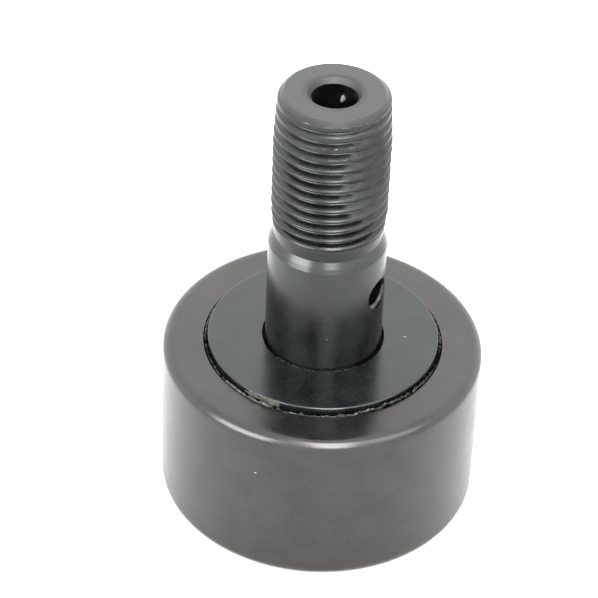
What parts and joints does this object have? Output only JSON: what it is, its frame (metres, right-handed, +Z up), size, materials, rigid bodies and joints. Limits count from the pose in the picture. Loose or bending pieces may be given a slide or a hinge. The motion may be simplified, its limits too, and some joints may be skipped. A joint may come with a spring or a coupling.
{
  "type": "cam follower",
  "caption": "Stud type cam follower: a thick cylindrical roller on needle rollers turns about a plain shank with a threaded end, a pressed side plate and drilled grease passages.",
  "frame": {"origin": "centre of the roller's closed face, the face that the follower stands on", "axes": "+Z up along the stud, from the head towards the threaded end; +X and +Y across it, with the cross oil hole 28 degrees from +X towards -Y"},
  "size_m": [0.035, 0.035, 0.0516],
  "materials": {
    "stud_black_oxide": "black oxide, satin",
    "plate_black_oxide": "black oxide, satin",
    "ring_black_oxide": "black oxide, ground and polished",
    "cage_pressed_steel": "pressed steel",
    "needle_bearing_steel": "ground bearing steel"
  },
  "bodies": {
    "stud": {"stud": "stud_black_oxide", "end_plate": "plate_black_oxide"},
    "outer_ring": {"outer_ring": "ring_black_oxide"},
    "needle_cage": {"needle_cage": "cage_pressed_steel"},
    "needle_01": {"needle_01": "needle_bearing_steel"},
    "needle_02": {"needle_02": "needle_bearing_steel"},
    "needle_03": {"needle_03": "needle_bearing_steel"},
    "needle_04": {"needle_04": "needle_bearing_steel"},
    "needle_05": {"needle_05": "needle_bearing_steel"},
    "needle_06": {"needle_06": "needle_bearing_steel"},
    "needle_07": {"needle_07": "needle_bearing_steel"},
    "needle_08": {"needle_08": "needle_bearing_steel"},
    "needle_09": {"needle_09": "needle_bearing_steel"},
    "needle_10": {"needle_10": "needle_bearing_steel"},
    "needle_11": {"needle_11": "needle_bearing_steel"},
    "needle_12": {"needle_12": "needle_bearing_steel"},
    "needle_13": {"needle_13": "needle_bearing_steel"},
    "needle_14": {"needle_14": "needle_bearing_steel"},
    "needle_15": {"needle_15": "needle_bearing_steel"},
    "needle_16": {"needle_16": "needle_bearing_steel"},
    "needle_17": {"needle_17": "needle_bearing_steel"},
    "needle_18": {"needle_18": "needle_bearing_steel"}
  },
  "joints": [
    {"name": "ring_spin", "type": "hinge", "parent": "stud", "child": "outer_ring", "pos_m": [0, 0, 0.00953], "axis": [0, 0, 1], "continuous": true},
    {"name": "cage_spin", "type": "hinge", "parent": "stud", "child": "needle_cage", "pos_m": [0, 0, 0.00997], "axis": [0, 0, 1], "continuous": true},
    {"name": "needle_01_spin", "type": "hinge", "parent": "needle_cage", "child": "needle_01", "pos_m": [0.0099, 0, 0.00997], "axis": [0, 0, 1], "continuous": true},
    {"name": "needle_02_spin", "type": "hinge", "parent": "needle_cage", "child": "needle_02", "pos_m": [0.0093, 0.00339, 0.00997], "axis": [0, 0, 1], "continuous": true},
    {"name": "needle_03_spin", "type": "hinge", "parent": "needle_cage", "child": "needle_03", "pos_m": [0.00758, 0.00636, 0.00997], "axis": [0, 0, 1], "continuous": true},
    {"name": "needle_04_spin", "type": "hinge", "parent": "needle_cage", "child": "needle_04", "pos_m": [0.00495, 0.00857, 0.00997], "axis": [0, 0, 1], "continuous": true},
    {"name": "needle_05_spin", "type": "hinge", "parent": "needle_cage", "child": "needle_05", "pos_m": [0.00172, 0.00975, 0.00997], "axis": [0, 0, 1], "continuous": true},
    {"name": "needle_06_spin", "type": "hinge", "parent": "needle_cage", "child": "needle_06", "pos_m": [-0.00172, 0.00975, 0.00997], "axis": [0, 0, 1], "continuous": true},
    {"name": "needle_07_spin", "type": "hinge", "parent": "needle_cage", "child": "needle_07", "pos_m": [-0.00495, 0.00857, 0.00997], "axis": [0, 0, 1], "continuous": true},
    {"name": "needle_08_spin", "type": "hinge", "parent": "needle_cage", "child": "needle_08", "pos_m": [-0.00758, 0.00636, 0.00997], "axis": [0, 0, 1], "continuous": true},
    {"name": "needle_09_spin", "type": "hinge", "parent": "needle_cage", "child": "needle_09", "pos_m": [-0.0093, 0.00339, 0.00997], "axis": [0, 0, 1], "continuous": true},
    {"name": "needle_10_spin", "type": "hinge", "parent": "needle_cage", "child": "needle_10", "pos_m": [-0.0099, 0, 0.00997], "axis": [0, 0, 1], "continuous": true},
    {"name": "needle_11_spin", "type": "hinge", "parent": "needle_cage", "child": "needle_11", "pos_m": [-0.0093, -0.00339, 0.00997], "axis": [0, 0, 1], "continuous": true},
    {"name": "needle_12_spin", "type": "hinge", "parent": "needle_cage", "child": "needle_12", "pos_m": [-0.00758, -0.00636, 0.00997], "axis": [0, 0, 1], "continuous": true},
    {"name": "needle_13_spin", "type": "hinge", "parent": "needle_cage", "child": "needle_13", "pos_m": [-0.00495, -0.00857, 0.00997], "axis": [0, 0, 1], "continuous": true},
    {"name": "needle_14_spin", "type": "hinge", "parent": "needle_cage", "child": "needle_14", "pos_m": [-0.00172, -0.00975, 0.00997], "axis": [0, 0, 1], "continuous": true},
    {"name": "needle_15_spin", "type": "hinge", "parent": "needle_cage", "child": "needle_15", "pos_m": [0.00172, -0.00975, 0.00997], "axis": [0, 0, 1], "continuous": true},
    {"name": "needle_16_spin", "type": "hinge", "parent": "needle_cage", "child": "needle_16", "pos_m": [0.00495, -0.00857, 0.00997], "axis": [0, 0, 1], "continuous": true},
    {"name": "needle_17_spin", "type": "hinge", "parent": "needle_cage", "child": "needle_17", "pos_m": [0.00758, -0.00636, 0.00997], "axis": [0, 0, 1], "continuous": true},
    {"name": "needle_18_spin", "type": "hinge", "parent": "needle_cage", "child": "needle_18", "pos_m": [0.0093, -0.00339, 0.00997], "axis": [0, 0, 1], "continuous": true}
  ],
  "couplings": [
    {"joint": "cage_spin", "follows": "ring_spin", "ratio": 0.56566},
    {"joint": "needle_01_spin", "follows": "ring_spin", "ratio": 3.8917},
    {"joint": "needle_02_spin", "follows": "ring_spin", "ratio": 3.8917},
    {"joint": "needle_03_spin", "follows": "ring_spin", "ratio": 3.8917},
    {"joint": "needle_04_spin", "follows": "ring_spin", "ratio": 3.8917},
    {"joint": "needle_05_spin", "follows": "ring_spin", "ratio": 3.8917},
    {"joint": "needle_06_spin", "follows": "ring_spin", "ratio": 3.8917},
    {"joint": "needle_07_spin", "follows": "ring_spin", "ratio": 3.8917},
    {"joint": "needle_08_spin", "follows": "ring_spin", "ratio": 3.8917},
    {"joint": "needle_09_spin", "follows": "ring_spin", "ratio": 3.8917},
    {"joint": "needle_10_spin", "follows": "ring_spin", "ratio": 3.8917},
    {"joint": "needle_11_spin", "follows": "ring_spin", "ratio": 3.8917},
    {"joint": "needle_12_spin", "follows": "ring_spin", "ratio": 3.8917},
    {"joint": "needle_13_spin", "follows": "ring_spin", "ratio": 3.8917},
    {"joint": "needle_14_spin", "follows": "ring_spin", "ratio": 3.8917},
    {"joint": "needle_15_spin", "follows": "ring_spin", "ratio": 3.8917},
    {"joint": "needle_16_spin", "follows": "ring_spin", "ratio": 3.8917},
    {"joint": "needle_17_spin", "follows": "ring_spin", "ratio": 3.8917},
    {"joint": "needle_18_spin", "follows": "ring_spin", "ratio": 3.8917}
  ]
}
